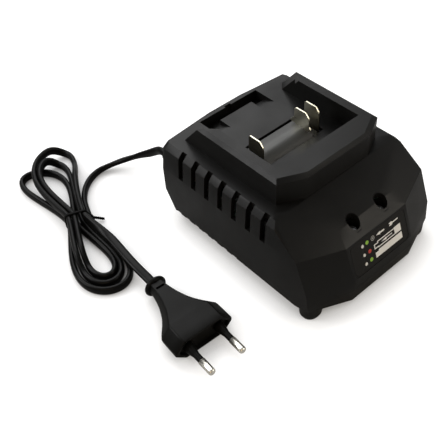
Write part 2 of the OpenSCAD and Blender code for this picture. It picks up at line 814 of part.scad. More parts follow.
// A drop-shaped loop: its length follows a sine, and its width a power of that
// sine times a cosine, so that strands leave and reach the waist side by side
function loop_point(i, t) = let(
    l = loops[i], from = slots[i], to = slots[i + 1],
    s = sin(180 * t), c = cos(180 * t), m = (1 - c) / 2)
    [from[0] * (1 - m) + to[0] * m + pow(s, l[5]) * (l[2] + l[3] * (1 - s) - l[0] * l[4] * 2.2 * c),
     l[0] * l[1] * s,
     lead_low + (from[1] - lead_low) * (1 - blend(0.42, 0.58, t))
         + (to[1] - lead_low) * blend(0.7, 0.84, t)];

hank_path = concat(
    [[slots[0][0], hank_tail, lead_low], [slots[0][0], hank_tail - tube_w, lead_low]],
    [for (i = [0 : len(loops) - 1]) for (k = [0 : loop_rings - 1]) loop_point(i, k / loop_rings)],
    [[slots[6][0], 0, lead_high], [slots[6][0], tube_w - hank_tail, lead_high],
     [slots[6][0], -hank_tail, lead_high]]);

// Least gap between strands, each an ellipse standing on edge
function strand_gap(a, b) = let(d = b - a, h = norm([d.x, d.y]), r = norm(d))
    r - norm([tube_t * h, tube_w * d.z]) / r;
hank_points = [for (i = [0 : len(loops) - 1]) for (k = [0 : 47]) loop_point(i, k / 48)];
hank_gap = min([for (i = [0 : len(hank_points) - 1])
    for (j = [i + 12 : 1 : len(hank_points) - 1])
        strand_gap(hank_points[i], hank_points[j])]);
echo(least_gap_in_hank = hank_gap);

module to_waist() {
    translate([waist.x, waist.y, 0]) rotate([0, 0, hank_turn]) children();
}

function from_waist(p) = [waist.x + p.x * cos(hank_turn) - p.y * sin(hank_turn),
    waist.y + p.x * sin(hank_turn) + p.y * cos(hank_turn), p.z];

module lead_hank() color([0.06, 0.06, 0.065])
    to_waist() tube(hank_path, 6, tube_w, tube_t);

hank_in = from_waist([slots[0][0], hank_tail, lead_low]);
hank_out = from_waist([slots[6][0], -hank_tail, lead_high]);
hank_dir = [-sin(-hank_turn), -cos(hank_turn), 0];

charger_route = [[exit_x, relief_tip + 5, exit_z], [-35, 85, 23.5], [-36.5, 91, 19], [-39, 98, 14.5],
    [-42.5, 105, 10], [-47, 111, 6.2], [-53, 115, 3.7], [-60, 116.5, 2.7], [-68, 114, lead_low],
    [-75.5, 108.5, lead_low], [-81, 101.5, lead_low], hank_in - hank_dir * 5];
module lead_to_charger() color([0.06, 0.06, 0.065])
    tube(concat([[exit_x, relief_tip, exit_z]], curve(charger_route, 2), [hank_in]), 8, tube_w, tube_t);

plug_turn = -3;
plug_face = [-95.2, -28, 7];
plug_back = 46;
function from_plug(y) = [plug_face.x - y * sin(plug_turn), plug_face.y + y * cos(plug_turn), plug_face.z];
plug_in = from_plug(plug_back);

plug_route = [hank_out + hank_dir * 5, [-90.8, 67, lead_high], [-90.6, 58, lead_high],
    [-91.3, 49, lead_high], [-92.2, 40, lead_high], [-92.6, 31, 7.6], from_plug(plug_back + 5)];
module lead_to_plug() color([0.06, 0.06, 0.065])
    tube(concat([hank_out], curve(plug_route, 2), [plug_in]), 8, tube_w, tube_t, 1);

// Twist tie round the waist, with its loose end
tie_r = 0.8;
module hank_tie() color([0.05, 0.05, 0.05]) to_waist() {
    rotate([90, 0, 0]) translate([0, 0, -tie_r]) linear_extrude(2 * tie_r) difference() {
        tie_outline(tie_r * 2 + 0.4);
        tie_outline(0.4);
    }
    translate([9.6, 0, 2.3]) rotate([0, 94, -14]) cylinder(r = tie_r, h = 4.6);
}
module tie_outline(grow) {
    intersection() {
        hull() {
            for (i = [0, 1, 5, 6]) translate(slots[i]) oval(grow);
        }
        translate([-20, 0.1]) square([40, 30]);
    }
}
module oval(grow) {
    translate([0, (tube_w - tube_t) / 2]) circle(r = tube_t / 2 + grow, $fn = 24);
    translate([0, (tube_t - tube_w) / 2]) circle(r = tube_t / 2 + grow, $fn = 24);
}

// ---- plug --------------------------------------------------------------

module at_plug() {
    translate(plug_face) rotate([0, 0, plug_turn]) children();
}

collar_y = 42;
// Half width and half height of the plug behind its face
plug_stations = [[0, 1, 1], [0.5, 1, 1], [12.5, 0.985, 1], [15, 0.88, 0.98], [19, 0.7, 0.93],
    [24, 0.52, 0.86], [30, 0.37, 0.78], [36, 0.28, 0.72], [42, 0.24, 0.68], [43, 0.24, 0.67]];

// Flattened hexagon with small corners
function plug_section(w, h, y) = [[w, y, 0.18 * h], [0.68 * w, y, h], [-0.68 * w, y, h],
    [-w, y, 0.18 * h], [-w, y, -0.18 * h], [-0.68 * w, y, -h], [0.68 * w, y, -h], [w, y, -0.18 * h]];

module plug_loft() {
    n = len(plug_stations);
    pts = [for (s = plug_stations) each plug_section(plug_w / 2 * s[1], plug_h / 2 * s[2], s[0])];
    walls = [for (i = [0 : n - 2]) for (k = [0 : 7]) let(
        a = i * 8 + k, b = i * 8 + (k + 1) % 8, c = a + 8, d = b + 8) each [[a, b, c], [b, d, c]]];
    last = (n - 1) * 8;
    caps = [for (k = [1 : 6]) each [[0, k + 1, k], [last, last + k, last + k + 1]]];
    polyhedron(points = pts, faces = concat(walls, caps));
}

module plug_body() color([0.07, 0.07, 0.075]) at_plug() {
    difference() {
        union() {
            plug_loft();
            // Collar at the end of the neck
            translate([0, collar_y, 0]) rotate([-90, 0, 0]) cylinder(r = 6, h = 2.5);
            translate([0, collar_y, 0]) rotate([-90, 0, 0]) cylinder(r = 3.6, h = plug_back - collar_y);
        }
        // Slot across the neck, above and below
        for (s = [-1, 1]) span([-2.6, 36.8, s > 0 ? 3.4 : -7], [2.6, 38.2, s > 0 ? 7 : -3.4]);
        for (s = [-1, 1]) translate([s * pin_gap / 2, -cut, 0]) rotate([-90, 0, 0])
            cylinder(r = pin_r, h = 11 + cut);
    }
}

sleeve_l = 10;
sleeve_r = pin_r;
module plug_pins() color([0.85, 0.86, 0.84]) at_plug() {
    for (s = [-1, 1]) translate([s * pin_gap / 2, 11, 0]) rotate([90, 0, 0]) {
        cylinder(r = pin_r - 0.35, h = 11 + sleeve_l);
        translate([0, 0, 11 + sleeve_l]) cylinder(r = pin_r, h = pin_l - sleeve_l - 1.2);
        translate([0, 0, 11 + pin_l - 1.2]) rotate_extrude()
            polygon([[0, 0], [pin_r, 0], [pin_r * 0.86, 0.7], [pin_r * 0.5, 1.2], [0, 1.2]]);
    }
}

module pin_sleeves() color([0.08, 0.08, 0.085]) at_plug() {
    for (s = [-1, 1]) translate([s * pin_gap / 2, 0, 0]) rotate([90, 0, 0]) difference() {
        union() {
            cylinder(r = sleeve_r, h = sleeve_l);
            cylinder(r1 = sleeve_r + 0.8, r2 = sleeve_r, h = 4);
        }
        translate([0, 0, -cut]) cylinder(r = pin_r - 0.35, h = sleeve_l + 2 * cut);
    }
}

// ---- fasteners ---------------------------------------------------------

module front_screws() color([0.35, 0.36, 0.38])
    at_front_screws() translate([0, 0, well_floor]) pan_screw(20, 0);

module rear_screws() color([0.35, 0.36, 0.38])
    at_rear_screws() translate([0, 0, rear_head_z]) rotate([180, 0, 0]) pan_screw(18, 0);

top_shell();
bottom_shell();
terminal_block();
left_blade();
middle_blade();
right_blade();
status_label();
light_pipes();
status_lights();
light_board();
main_board();
transformer_core();
transformer_winding();
mains_capacitor();
output_capacitors();
filter_choke();
filter_capacitor();
rectifier();
fuse();
primary_heat_sink();
secondary_heat_sink();
power_transistors();
control_chips();
battery_leads();
mains_leads();
lead_clamp();
clamp_screws();
strain_relief();
lead_to_charger();
lead_hank();
lead_to_plug();
hank_tie();
plug_body();
plug_pins();
pin_sleeves();
front_screws();
rear_screws();
board_screws();
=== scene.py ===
import math

import bpy
import numpy as np
from mathutils import Matrix, Vector


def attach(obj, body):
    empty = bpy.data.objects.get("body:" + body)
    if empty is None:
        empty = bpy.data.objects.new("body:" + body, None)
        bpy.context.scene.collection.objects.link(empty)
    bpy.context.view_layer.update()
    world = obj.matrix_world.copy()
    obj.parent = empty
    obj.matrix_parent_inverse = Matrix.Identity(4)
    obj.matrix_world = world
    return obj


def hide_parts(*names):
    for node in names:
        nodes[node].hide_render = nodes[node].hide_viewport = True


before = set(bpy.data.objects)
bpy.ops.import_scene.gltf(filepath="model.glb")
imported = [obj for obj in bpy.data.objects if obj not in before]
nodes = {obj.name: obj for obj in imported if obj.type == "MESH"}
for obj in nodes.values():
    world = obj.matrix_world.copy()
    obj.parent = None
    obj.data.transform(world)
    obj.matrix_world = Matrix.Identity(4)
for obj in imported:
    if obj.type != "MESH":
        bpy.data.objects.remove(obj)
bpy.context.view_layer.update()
MM = 0.001

# ---- Camera ---------------------------------------------------------------------------
# A product shot from the front left corner, looking down at the charger, its coiled
# lead and its plug. The picture is square.
camera_at = Vector((-212.8, -192.9, 298.5)) * MM
camera_right = Vector((0.7453, -0.6653, -0.0429)).normalized()
camera_back = Vector((-0.4370, -0.5361, 0.7223)).normalized()
camera_up = camera_back.cross(camera_right).normalized()
camera_data = bpy.data.cameras.new("product_camera")
camera_data.sensor_width = 36
camera_data.lens = 56.65
camera_data.clip_start = 0.02
camera_data.clip_end = 20
camera = bpy.data.objects.new("product_camera", camera_data)
camera.matrix_world = Matrix((
    (camera_right.x, camera_up.x, camera_back.x, camera_at.x),
    (camera_right.y, camera_up.y, camera_back.y, camera_at.y),
    (camera_right.z, camera_up.z, camera_back.z, camera_at.z),
    (0, 0, 0, 1)))
bpy.context.scene.collection.objects.link(camera)
bpy.context.scene.camera = camera
bpy.context.scene.view_settings.view_transform = "Standard"

# ---- Lead -----------------------------------------------------------------------------
# Flat two-core mains lead in black PVC, 93 cm of it. It leaves the housing through the
# strain relief, is folded to a hank of six loops round one waist, and ends in the plug.
lead_w, lead_t = 5.3, 3.38
lead_low = lead_w / 2
strand_rise = 5.4
lead_high = lead_low + strand_rise
waist = np.array([-94.0, 87.0, 0.0])
hank_turn = math.radians(-21)
# Place across the waist and height of each pass through it, in the order of the lead
slots = np.array([[6.4, lead_low], [-5.8, lead_low], [-2.2, lead_low], [-2.05, lead_high],
                  [1.9, lead_low], [-5.5, lead_high], [3.4, lead_high]])
# Side, length, lean of the tip, sway of the strands, half width, how late they spread
loops = np.array([[-1, 57, 6, -1, 10, 1.3], [1, 53.5, -14, 0, 11.5, 1.5],
                  [-1, 47, 7.5, 4, 7, 1.3], [1, 57, -4.5, -13.5, 7.5, 1.3],
                  [-1, 52, 7, 5, 8, 1.4], [1, 66.5, 1.5, -25, 9.5, 1.3]])
# A sine to a power times a cosine peaks at about 1 / 2.2, so this brings it to 1
widest = 2.2


def ease(a, b, t):
    """Rises from 0 at a to 1 at b, as 3 x squared less 2 x cubed."""
    x = np.clip((t - a) / (b - a), 0, 1)
    return x * x * (3 - 2 * x)


def waist_rise(u):
    """The tie lifts the strands at the waist by a bell of their distance u from it."""
    return 0.35 * np.exp(-(u / 5) ** 2)


def hank_loop(i, t):
    """One loop: its length is a sine of t, its width a power of that sine times a cosine,
    and the strand rises from one height at the waist to the next."""
    side, length, lean, sway, half, late = loops[i]
    (from_v, from_z), (to_v, to_z) = slots[i], slots[i + 1]
    s, c = np.sin(np.pi * t), np.cos(np.pi * t)
    m = (1 - c) / 2
    v = from_v * (1 - m) + to_v * m + np.abs(s) ** late * (
        lean + sway * (1 - s) - side * half * widest * c)
    z = (lead_low + (from_z - lead_low) * (1 - ease(0.42, 0.58, t))
         + (to_z - lead_low) * ease(0.70, 0.84, t) + waist_rise(length * s))
    return np.stack([v, side * length * s, z], 1)


def from_waist(p):
    """Turns points given at the waist of the hank into the row frame."""
    p = np.atleast_2d(p)
    c, s = math.cos(hank_turn), math.sin(hank_turn)
    return np.stack([waist[0] + p[:, 0] * c - p[:, 1] * s,
                     waist[1] + p[:, 0] * s + p[:, 1] * c, p[:, 2]], 1)


def smooth_line(p, steps):
    """Curve through points: each span is a cubic whose ends lean along the neighbours."""
    p = np.asarray(p, float)
    a = np.vstack([p[:1], p[:-2]])
    b, c = p[:-1], p[1:]
    d = np.vstack([p[2:], p[-1:]])
    u = (np.arange(steps) / steps)[None, :, None]
    a, b, c, d = (x[:, None, :] for x in (a, b, c, d))
    q = 0.5 * (2 * b + (c - a) * u + (2 * a - 5 * b + 4 * c - d) * u ** 2
               + (3 * b - a - 3 * c + d) * u ** 3)
    return np.vstack([q.reshape(-1, 3), p[-1:]])


def even_line(p, step):
    """The same line with points an even distance apart."""
    run = np.concatenate([[0], np.cumsum(np.linalg.norm(np.diff(p, axis=0), axis=1))])
    at = np.linspace(0, run[-1], int(round(run[-1] / step)) + 1)
    return np.stack([np.interp(at, run, p[:, k]) for k in range(3)], 1), run[-1]


def softened(p, step, width):
    """An even line whose points become means of their neighbours, weighted by a bell of the
    given width along the line. Both ends stay where they are."""
    reach = int(3 * width / step)
    bell = np.exp(-0.5 * (np.arange(-reach, reach + 1) * step / width) ** 2)
    before = 2 * p[0] - p[reach:0:-1]
    after = 2 * p[-1] - p[-2:-reach - 2:-1]
    padded = np.vstack([before, p, after])
    return np.stack([np.convolve(padded[:, k], bell / bell.sum(), "valid")
                     for k in range(3)], 1)


def fuller(wave, power):
    """A cosine or sine drawn to a power under one, so that a round fills its corners."""
    return np.sign(wave) * np.abs(wave) ** power


def grid_faces(rows, columns, closed=True):
    """Quads between neighbouring rows of a grid, wrapping round where it is closed."""
    r = np.arange(rows - 1)[:, None]
    c = np.arange(columns if closed else columns - 1)[None, :]
    n = (c + 1) % columns
    return np.stack([r * columns + c, r * columns + n, (r + 1) * columns + n,
                     (r + 1) * columns + c], -1).reshape(-1, 4)


def new_piece(name, verts, faces, material, smooth=True, crease=None):
    """Puts arrays of points in millimetres and faces into an object at the origin. Edges
    that turn by more than the crease, in degrees, stay sharp."""
    mesh = bpy.data.meshes.new(name)
    mesh.from_pydata((np.asarray(verts) * MM).tolist(), [],
                     [list(map(int, f)) for f in faces])
    mesh.validate()
    mesh.polygons.foreach_set("use_smooth", np.full(len(mesh.polygons), smooth))
    if crease is not None:
        mesh.set_sharp_from_angle(angle=math.radians(crease))
    mesh.materials.append(material)
    mesh.update()
    piece = bpy.data.objects.new(name, mesh)
    bpy.context.scene.collection.objects.link(piece)
    return piece


def tube(name, line, rings, material):
    """Joins the rings drawn round a line each to the next, and closes both ends with a fan
    of triangles about the line's own end."""
    n, count = rings.shape[:2]
    verts = np.vstack([rings.reshape(-1, 3), line[:1], line[-1:]])
    faces = [list(f)[::-1] for f in grid_faces(n, count)]
    faces += [[n * count, j, (j + 1) % count] for j in range(count)]
    faces += [[n * count + 1, (n - 1) * count + (j + 1) % count, (n - 1) * count + j]
              for j in range(count)]
    return new_piece(name, verts, faces, material)


def moulded_plastic(name, colour, rough, grain, bump, gloss=0.3, drift=0.12):
    """Moulded plastic: a fine grain in the surface, and colour and sheen that drift a
    little over it, all from noise in object coordinates."""
    material = bpy.data.materials.new(name)
    material.use_nodes = True
    tree = material.node_tree
    shader = tree.nodes["Principled BSDF"]
    shader.inputs["Specular IOR Level"].default_value = gloss
    place = tree.nodes.new("ShaderNodeTexCoord")

    def noise(scale, detail):
        """Noise over the object's own coordinates, from 0 to 1."""
        node = tree.nodes.new("ShaderNodeTexNoise")
        node.inputs["Scale"].default_value = scale
        node.inputs["Detail"].default_value = detail
        tree.links.new(place.outputs["Object"], node.inputs["Vector"])
        return node.outputs["Fac"]

    def spread(value, low, high):
        """Maps noise from 0.3 to 0.7 in a straight line to low and high."""
        node = tree.nodes.new("ShaderNodeMapRange")
        node.inputs["From Min"].default_value = 0.3
        node.inputs["From Max"].default_value = 0.7
        node.inputs["To Min"].default_value = low
        node.inputs["To Max"].default_value = high
        tree.links.new(value, node.inputs["Value"])
        return node.outputs["Result"]

    tint = tree.nodes.new("ShaderNodeMix")
    tint.data_type = "RGBA"
    tint.inputs["A"].default_value = (*[c * (1 - drift) for c in colour], 1)
    tint.inputs["B"].default_value = (*[c * (1 + drift) for c in colour], 1)
    tree.links.new(spread(noise(34, 3), 0, 1), tint.inputs["Factor"])
    tree.links.new(tint.outputs["Result"], shader.inputs["Base Color"])
    tree.links.new(spread(noise(60, 4), rough - 0.05, rough + 0.05),
                   shader.inputs["Roughness"])
    relief = tree.nodes.new("ShaderNodeBump")
    relief.inputs["Strength"].default_value = bump
    relief.inputs["Distance"].default_value = 0.0001
    tree.links.new(noise(grain, 2), relief.inputs["Height"])
    tree.links.new(relief.outputs["Normal"], shader.inputs["Normal"])
    return material


def flat_lead(name, line, roll, material):
    """Tube whose section is a rounded oblong: cosine and sine drawn to powers under one.
    A roll of 0 stands it on its narrow edge, and a quarter turn lays it flat."""
    along = np.gradient(line, axis=0)
    along /= np.linalg.norm(along, axis=1)[:, None]
    level = np.cross(along, [0, 0, 1.0])
    level /= np.linalg.norm(level, axis=1)[:, None]
    plumb = np.cross(level, along)
    c, s = np.cos(roll)[:, None], np.sin(roll)[:, None]
    side, up = level * c + plumb * s, plumb * c - level * s
    a = np.linspace(0, 2 * np.pi, 32, endpoint=False)
    thick = lead_t / 2 * fuller(np.cos(a), 0.8)
    wide = lead_w / 2 * fuller(np.sin(a), 0.92)
    rings = (line[:, None, :] + side[:, None, :] * thick[None, :, None]
             + up[:, None, :] * wide[None, :, None])
    return tube(name, line, rings, material)


lead_black = moulded_plastic("lead_black_pvc", (0.0040, 0.0040, 0.0039), 0.33, 900, 0.05,
                             0.09)

exit_point = np.array([-35.0, 75.2, 26.5])
hank_start = from_waist([slots[0][0], 7, lead_low + waist_rise(7)])
hank_end = from_waist([5.7, -7, lead_high + waist_rise(7)])
hank_dir = np.array([math.sin(hank_turn), -math.cos(hank_turn), 0])
plug_turn = math.radians(-3)
plug_face = np.array([-95.2, -28.0, 7.0])
plug_back = 46


def behind_plug(y):
    """A point on the plug's axis, at a distance behind its face."""
    return plug_face + np.array([-y * math.sin(plug_turn), y * math.cos(plug_turn), 0])


# From 4 mm inside the strain relief, down to the floor and round to the waist
curve_steps = 8
to_hank = smooth_line([
    [-35, 75.2 - 4, 26.5], exit_point, [-35, 80.2, 26.5], [-35, 85, 23.5], [-36.5, 91, 19],
    [-39, 98, 14.5], [-42.5, 105, 10], [-47, 111, 6.2], [-53, 115, 3.7], [-60, 116.5, 2.7],
    [-68, 114, lead_low], [-75.5, 108.5, lead_low], [-81, 101.5, lead_low],
    (hank_start - hank_dir * 5)[0], hank_start[0]], curve_steps)
waist_tails = [from_waist([slots[0][0], 3.5, lead_low + waist_rise(3.5)]),
               from_waist([slots[6][0], 0, lead_high + waist_rise(0)]),
               from_waist([4.4, -3.5, lead_high + waist_rise(3.5)])]
loop_points = 400
turns = [from_waist(hank_loop(i, np.arange(loop_points) / loop_points))
         for i in range(len(loops))]
to_plug = smooth_line([
    hank_end[0], from_waist([7.7, -12, lead_high])[0], [-90.8, 67, lead_high],
    [-90.6, 58, lead_high], [-91.3, 49, lead_high], [-92.2, 40, lead_high],
    [-92.6, 31, 7.6], behind_plug(plug_back + 5), behind_plug(plug_back)], curve_steps)
# The joined stretches, from the exit on, are softened at a fine step, then laid out evenly
whole = np.vstack([to_hank[curve_steps:], waist_tails[0], *turns, *waist_tails[1:], to_plug])
fine_step, soft_width, lead_step = 0.25, 1.5, 0.9
lead_line, lead_length = even_line(
    softened(even_line(whole, fine_step)[0], fine_step, soft_width), lead_step)
# The lead stands on its edge in the hank. It leans over on its way there from the charger,
# and the last stretch turns to its flat side over a few widths
run = np.linspace(0, lead_length, len(lead_line))
plug_stretch = np.linalg.norm(np.diff(to_plug, axis=0), axis=1).sum()
turn_start, turn_end = lead_length - plug_stretch - 8, lead_length - plug_stretch + 26
lead_roll = ease(turn_start, turn_end, run) * math.pi / 2
lean, lean_at, lean_width = 1.25, 40, 17
lead_roll += lean * np.exp(-((run - lean_at) / lean_width) ** 2)
lead = flat_lead("mains_lead", lead_line, lead_roll, lead_black)
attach(lead, "root")
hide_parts("lead_to_charger", "lead_hank", "lead_to_plug")

# ---- Hank tie -------------------------------------------------------------------------
# Twist tie of thin black plastic over wire, one turn round the waist of the hank. Its ends
# are twisted and stick out low at the right.
tie_black = moulded_plastic("tie_black_plastic", (0.002, 0.002, 0.002), 0.45, 1400, 0.1,
                            0.05)


def swept_oval(name, line, half_w, half_h, material, count=16, up=(0, 0, 1.0)):
    """An oval of a cosine and a sine, carried along a line and closed at each end."""
    along = np.gradient(line, axis=0)
    along /= np.linalg.norm(along, axis=1)[:, None]
    side = np.cross(along, np.asarray(up, float))
    side /= np.maximum(np.linalg.norm(side, axis=1)[:, None], 1e-9)
    top = np.cross(side, along)
    a = np.linspace(0, 2 * np.pi, count, endpoint=False)
    rings = (line[:, None, :] + side[:, None, :] * np.cos(a)[None, :, None] * half_w
             + top[:, None, :] * np.sin(a)[None, :, None] * half_h)
    return tube(name, line, rings, material)


# The band is the taut outline of the strands: in each direction, the farthest strand's
# edge. It is a little out from the strands and off the floor, and its ends pass each other
band_thick, band_wide = 0.46, 0.95
off_strand, off_floor, band_shift, tie_step = 0.35, 0.48, 0.45, 0.5
angle = np.linspace(-0.35, 2 * np.pi - 0.1, 150)
away = np.stack([np.cos(angle), np.sin(angle)], 1)
cores = np.array([[v, z + end * (lead_w - lead_t) / 2 + waist_rise(0)]
                  for v, z in slots for end in (-1, 1)])
taut = cores[np.argmax(away @ cores.T, axis=1)] + away * (lead_t / 2 + off_strand)
tie_line, _ = even_line(np.stack([
    taut[:, 0], np.linspace(-band_shift, band_shift, len(taut)),
    np.maximum(taut[:, 1], off_floor)], 1), tie_step)
tie_line = softened(tie_line, tie_step, tie_step)
tie_band = swept_oval("hank_tie_band", from_waist(tie_line), band_thick, band_wide, tie_black,
                      up=(from_waist([0, 1, 0]) - from_waist([0, 0, 0]))[0])
# Its two ends wind round one another, half a turn apart, as they run out to the right. At
# the tips they draw together
out = np.linspace(0, 1, 46)
wound, apart, end_round = 17, 0.42, 0.5
held = apart * np.minimum(1, 6 * (1 - out) + 0.3)
tie_ends = []
for word, start in (("a", 0), ("b", np.pi)):
    wind = out * wound + start
    tie_ends.append(swept_oval("hank_tie_end_" + word, from_waist(np.stack([
        8.7 + 5.6 * out, -0.2 - 1.5 * out + held * np.cos(wind),
        3.4 - 1.9 * out + held * np.sin(wind)], 1)), end_round, end_round, tie_black, 12))
tie_pieces = [tie_band, *tie_ends]
for piece in tie_pieces:
    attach(piece, "root")
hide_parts("hank_tie")

# ---- Plug -----------------------------------------------------------------------------
# Flat two-pin plug moulded onto the lead in black PVC: a six-sided body that draws in to a
# neck with a collar, and two pins with insulated roots.
plug_w, plug_h = 35.3, 13.7
plug_black = moulded_plastic("plug_black_pvc", (0.0040, 0.0040, 0.0037), 0.38, 1100, 0.1,
                             0.08)


def at_plug(p):
    """Turns points given at the plug's face into the row frame."""
    p = np.asarray(p, float)
    c, s = math.cos(plug_turn), math.sin(plug_turn)
    x, y, z = p[..., 0], p[..., 1], p[..., 2]
    return np.stack([x * c - y * s, x * s + y * c, z], -1) + plug_face


def lofted(name, sections, material, to_frame, crease=None):
    """Rings of the same number of points joined each to the next, and closed at both ends
    by a fan of triangles about the mean of the end ring's points."""
    sections = np.asarray(sections, float)
    n, k = sections.shape[:2]
    verts = np.vstack([sections.reshape(-1, 3), sections[0].mean(0)[None],
                       sections[-1].mean(0)[None]])
    faces = [list(f) for f in grid_faces(n, k)]
    faces += [[n * k, (j + 1) % k, j] for j in range(k)]
    faces += [[n * k + 1, (n - 1) * k + j, (n - 1) * k + (j + 1) % k] for j in range(k)]
    return new_piece(name, to_frame(verts), faces, material, True, crease)


def plug_ring(w, h, y, slot, count=6):
    """Flattened hexagon with corners rounded by parabolas, at one distance behind the face.
    Four more points on the flat top and four on the underside let a slot sink in."""
    flat, wall = 0.68 * w, 0.16 * h
    corners = np.array([[w, wall], [flat, h], [-flat, h], [-w, wall],
                        [-w, -wall], [-flat, -h], [flat, -h], [w, -wall]])
    before, after = np.roll(corners, 1, 0), np.roll(corners, -1, 0)
    r = min(0.7, 0.12 * w)
    u1 = (before - corners) / np.linalg.norm(before - corners, axis=1)[:, None]
    u2 = (after - corners) / np.linalg.norm(after - corners, axis=1)[:, None]
    t = np.linspace(0, 1, count)[None, :, None]
    a, b, c = (corners + u1 * r)[:, None], corners[:, None], (corners + u2 * r)[:, None]
    arc = a * (1 - t) ** 2 + b * 2 * t * (1 - t) + c * t ** 2
    q = min(2.5, flat - r - 0.2)
    across = np.array([q, q - 0.02, 0.02 - q, -q])
    sink = slot * np.array([0, 1, 1, 0])
    top = np.stack([across, h - sink], 1)
    under = np.stack([-across, -h + sink], 1)
    ring = np.vstack([*arc[:2], top, *arc[2:6], under, *arc[6:]])
    return np.stack([ring[:, 0], np.full(len(ring), y), ring[:, 1]], 1)


# Distance behind the face, shares of the half width and half height, sink of the slot
stations = np.array([
    [1.5, .80, .68, 0], [1.4, .84, .76, 0], [0.1, .865, .82, 0], [0, .88, .84, 0],
    [0, .96, .94, 0], [0.25, .985, .98, 0], [0.6, 1, 1, 0], [6, .998, 1, 0],
    [11, .992, 1, 0], [12.7, .982, 1, 0], [12.9, .975, .998, 0], [13, .968, .92, 0],
    [14, .935, .892, 0], [15.5, .872, .865, 0], [17.5, .78, .848, 0], [20, .67, .84, 0],
    [23, .56, .825, 0], [26.5, .465, .80, 0], [30, .385, .775, 0], [33.5, .33, .745, 0],
    [36.7, .29, .712, 0], [36.8, .289, .711, 1.2], [38.2, .278, .70, 1.2],
    [38.3, .277, .699, 0], [40, .262, .69, 0], [43, .25, .68, 0]])
plug_rings = [plug_ring(plug_w / 2 * wide, plug_h / 2 * high, y, slot)
              for y, wide, high, slot in stations]
plug_shell = lofted("plug_shell", plug_rings, plug_black, at_plug, 32)
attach(plug_shell, "root")
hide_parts("plug_body")


def turned(name, profile, material, to_frame, count=40):
    """A profile of radius and distance turned round the y axis, closed at both ends."""
    a = np.linspace(0, 2 * np.pi, count, endpoint=False)
    p = np.asarray(profile, float)
    rings = np.stack([p[:, :1] * np.cos(a), np.repeat(p[:, 1:2], count, 1),
                      p[:, :1] * np.sin(a)], -1)
    return lofted(name, rings[::-1], material, to_frame)


collar = turned("plug_collar", [
    [0.01, 46], [3.0, 46], [3.3, 45.6], [3.5, 44.9], [4.6, 44.6], [5.7, 44.2], [6.25, 43.6],
    [6.4, 42.9], [6.2, 42.2], [5.5, 41.7], [4.4, 41.4], [3.2, 41.2], [0.01, 41.2]],
    plug_black, at_plug)
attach(collar, "root")


def bare_metal(name, colour, rough, brushed):
    """Metal: fine noise, drawn out along one axis, varies its gloss and its surface."""
    material = bpy.data.materials.new(name)
    material.use_nodes = True
    tree = material.node_tree
    shader = tree.nodes["Principled BSDF"]
    shader.inputs["Base Color"].default_value = (*colour, 1)
    shader.inputs["Metallic"].default_value = 1
    place = tree.nodes.new("ShaderNodeTexCoord")
    stretch = tree.nodes.new("ShaderNodeMapping")
    stretch.inputs["Scale"].default_value = (1, 1, 8)
    marks = tree.nodes.new("ShaderNodeTexNoise")
    marks.inputs["Scale"].default_value = 260
    marks.inputs["Detail"].default_value = 3
    gloss = tree.nodes.new("ShaderNodeMapRange")
    gloss.inputs["To Min"].default_value = rough * 0.7
    gloss.inputs["To Max"].default_value = rough * 1.4
    relief = tree.nodes.new("ShaderNodeBump")
    relief.inputs["Strength"].default_value = brushed
    relief.inputs["Distance"].default_value = 0.00005
    tree.links.new(place.outputs["Object"], stretch.inputs["Vector"])
    tree.links.new(stretch.outputs["Vector"], marks.inputs["Vector"])
    tree.links.new(marks.outputs["Fac"], gloss.inputs["Value"])
    tree.links.new(gloss.outputs["Result"], shader.inputs["Roughness"])
    tree.links.new(marks.outputs["Fac"], relief.inputs["Height"])
    tree.links.new(relief.outputs["Normal"], shader.inputs["Normal"])
    return material


# Pins of nickel-plated brass, thinned at the root under a black insulating sleeve
plated = bare_metal("nickel_plate", (0.80, 0.78, 0.71), 0.3, 0.03)
pin_half_gap = 9.5
for side, word in ((-1, "left"), (1, "right")):
    def at_pin(p, side=side):
        """Turns points given about one pin's axis into the row frame."""
        return at_plug(np.asarray(p) + [side * pin_half_gap, 0, 0])
    bare = turned("pin_" + word, [
        [0.01, 0.9], [1.6, 0.9], [1.6, -9.7], [2.0, -9.9], [2.0, -17.6], [1.93, -18.1],
        [1.7, -18.55], [1.3, -18.85], [0.7, -18.98], [0.01, -19]][::-1], plated, at_pin)
    sleeve = turned("pin_sleeve_" + word, [
        [0.01, 1.4], [2.95, 1.4], [2.95, 0.2], [2.92, -0.2], [2.8, -0.7], [2.3, -3.2],
        [2.0, -4.6], [1.8, -5.4], [1.76, -9.6], [1.7, -9.95], [0.01, -9.95]][::-1],
        plug_black, at_pin)
    for piece, finish in ((bare, "pin_metal"), (sleeve, "sleeve_plastic")):
        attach(piece, "root")
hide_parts("plug_pins")
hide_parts("pin_sleeves")

# ---- Strain relief --------------------------------------------------------------------
# Tapered rubbery sleeve moulded on the lead, with grooves that let it flex, held in the
# rear wall.
relief_black = moulded_plastic("relief_black_pvc", (0.010, 0.010, 0.010), 0.5, 900, 0.2, 0.1)
relief = nodes["strain_relief"]


def finish_solid(node, finish, width=0.35, segments=2, angle=28):
    """A solid from the frame gets its finish, and its edges sharper than the angle get the
    small radius that a mould leaves, as a bevel of that width in millimetres."""
    node.data.materials.clear()
    node.data.materials.append(finish)
    weld = node.modifiers.new("join_faces", "WELD")
    weld.merge_threshold = 0.00001
    soft = node.modifiers.new("mould_radius", "BEVEL")
    soft.width = width * MM
    soft.segments = segments
    soft.limit_method = "ANGLE"
    soft.angle_limit = math.radians(angle)
    soft.use_clamp_overlap = True
    node.modifiers.new("even_normals", "WEIGHTED_NORMAL")
    node.data.polygons.foreach_set("use_smooth", np.ones(len(node.data.polygons), bool))


finish_solid(relief, relief_black, 0.2)

